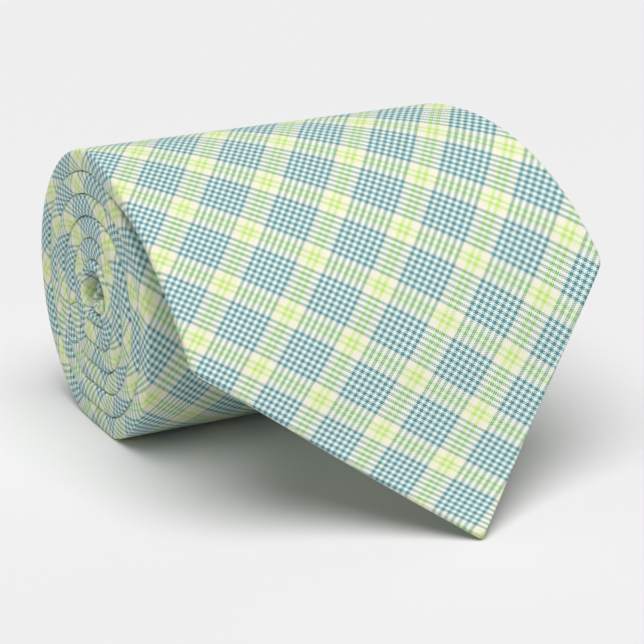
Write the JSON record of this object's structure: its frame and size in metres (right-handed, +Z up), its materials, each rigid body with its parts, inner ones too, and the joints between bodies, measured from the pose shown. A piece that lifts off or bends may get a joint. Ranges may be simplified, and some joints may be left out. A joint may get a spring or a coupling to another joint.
{
  "type": "necktie",
  "caption": "Rolled necktie in a checked cloth: folded shell around an interlining, wound into a roll with its pointed front blade laid out as a lifting flap.",
  "frame": {"origin": "middle of the footprint, on the ground, halfway between the flap's point and the back of the roll", "axes": "+X along the roll from its flush end to its open end, -Y the way the flap's point lies, +Z up"},
  "size_m": [0.1016, 0.128, 0.0656],
  "materials": {
    "shell_cloth": "printed silky twill, cream ground with a teal and lime glen check",
    "interlining": "brushed felt",
    "tipping": "satin lining",
    "thread": "spun thread",
    "label": "woven satin ribbon"
  },
  "bodies": {
    "roll": {"front_blade_wrap": "shell_cloth", "neck_shell_front": "shell_cloth", "neck_shell_back": "shell_cloth", "tail_shell": "shell_cloth", "interlining_front": "interlining", "interlining_tail": "interlining", "tail_tipping": "tipping", "bar_tack_tail": "thread", "slip_stitch_roll": "thread", "keeper_loop": "shell_cloth", "name_label": "label", "care_tag": "label", "join_seam_front": "thread", "join_seam_tail": "thread"},
    "flap": {"front_blade_flap": "shell_cloth", "interlining_flap": "interlining", "front_tipping": "tipping", "bar_tack_front": "thread", "slip_stitch_flap": "thread"}
  },
  "joints": [
    {"name": "flap_lift", "type": "hinge", "parent": "roll", "child": "flap", "pos_m": [0, 0.03075, 0.06405], "axis": [-1, 0, 0], "range_deg": [0, 120]}
  ]
}
